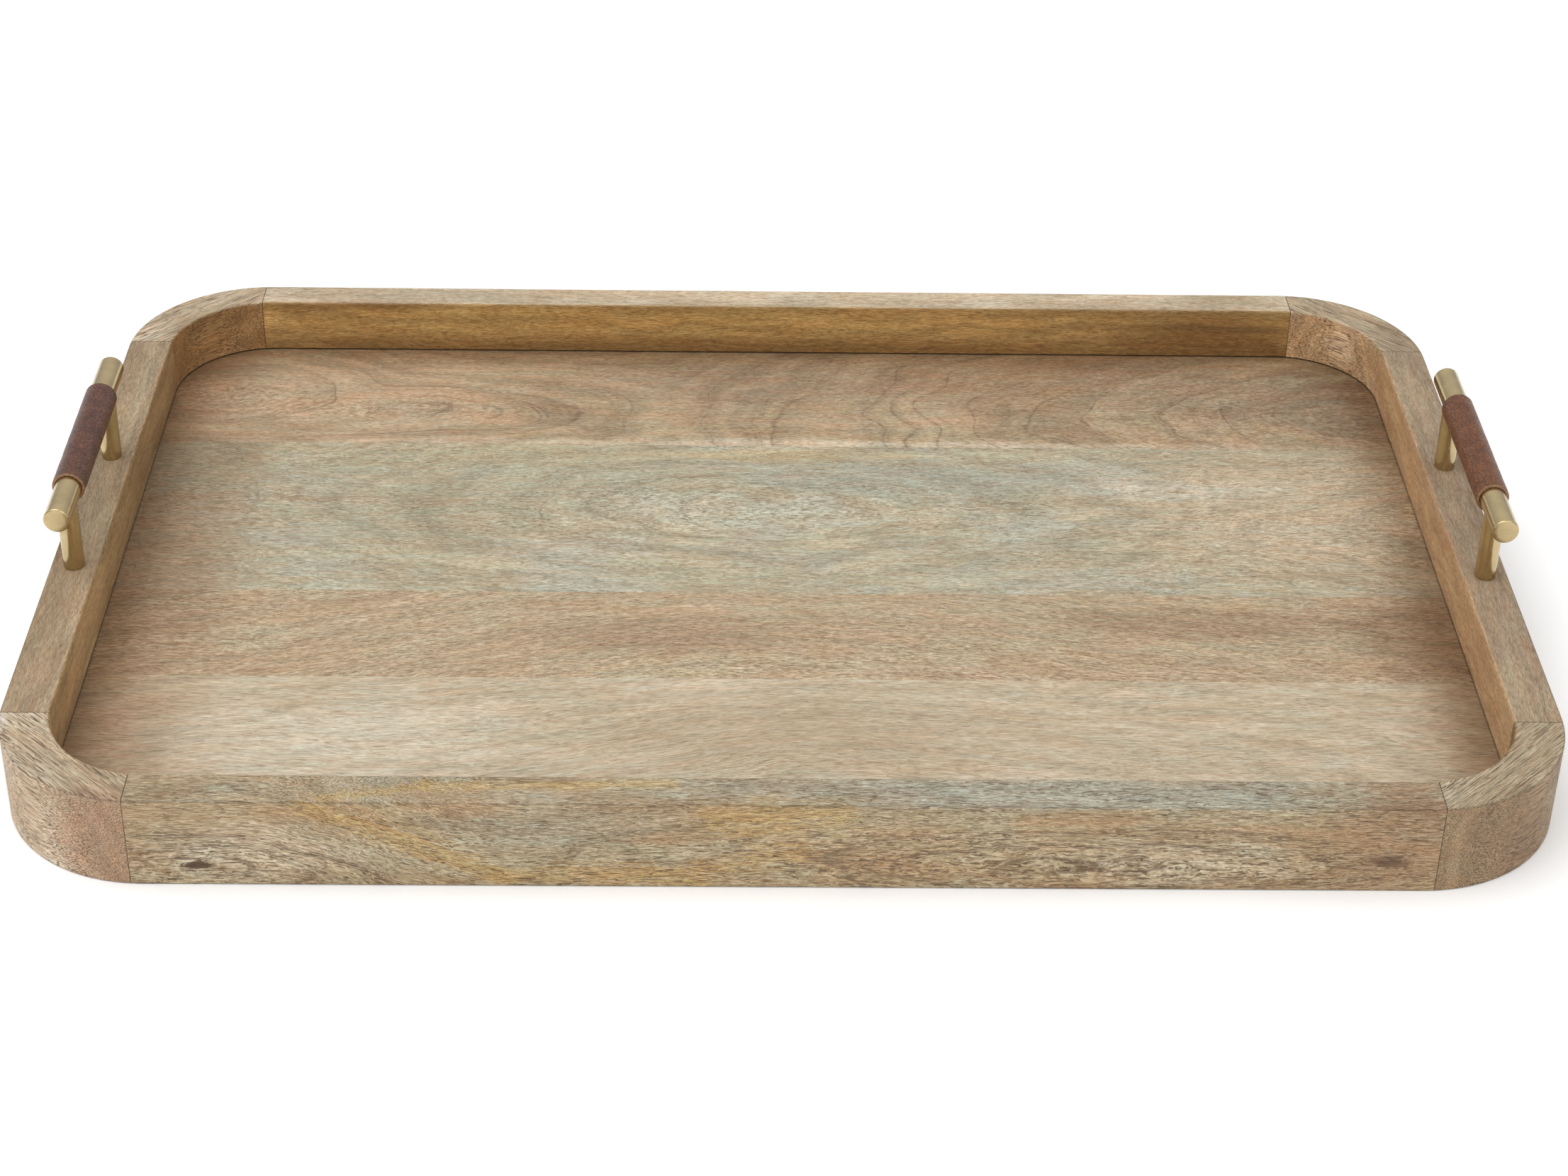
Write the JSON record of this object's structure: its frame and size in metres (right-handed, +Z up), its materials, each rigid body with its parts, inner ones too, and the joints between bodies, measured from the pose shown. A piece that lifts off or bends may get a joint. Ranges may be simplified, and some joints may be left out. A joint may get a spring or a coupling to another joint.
{
  "type": "serving tray with bar handles",
  "caption": "Rectangular solid-wood serving tray with rounded corners, a raised rim, and fixed brass bar handles in leather sleeves on the short sides.",
  "frame": {"origin": "centre of the footprint, on the surface that the tray stands on", "axes": "+X along the tray's length towards the right handle, +Y towards the back, +Z up"},
  "size_m": [0.56, 0.38, 0.0733],
  "materials": {
    "frame_wood": "matt oiled mango wood, brown with grey and ochre streaks",
    "floor_wood": "matt oiled mango wood, beige to pinkish tan",
    "dowel_wood": "plain beech",
    "brass": "satin, brushed round the rod",
    "leather": "fine pebble grain, semi-matt",
    "zinc_steel": "bright zinc plated"
  },
  "bodies": {
    "root": {"front_rail": "frame_wood", "back_rail": "frame_wood", "left_rail": "frame_wood", "right_rail": "frame_wood", "front_left_corner": "frame_wood", "front_right_corner": "frame_wood", "back_left_corner": "frame_wood", "back_right_corner": "frame_wood", "floor_board_1": "floor_wood", "floor_board_2": "floor_wood", "floor_board_3": "floor_wood", "floor_board_4": "floor_wood", "front_dowels": "dowel_wood", "back_dowels": "dowel_wood", "left_dowels": "dowel_wood", "right_dowels": "dowel_wood", "left_handle_bar": "brass", "right_handle_bar": "brass", "left_leather_sleeve": "leather", "right_leather_sleeve": "leather", "left_front_post": "brass", "left_back_post": "brass", "right_front_post": "brass", "right_back_post": "brass", "left_post_studs": "zinc_steel", "right_post_studs": "zinc_steel", "left_handle_screws": "zinc_steel", "right_handle_screws": "zinc_steel"}
  },
  "joints": []
}
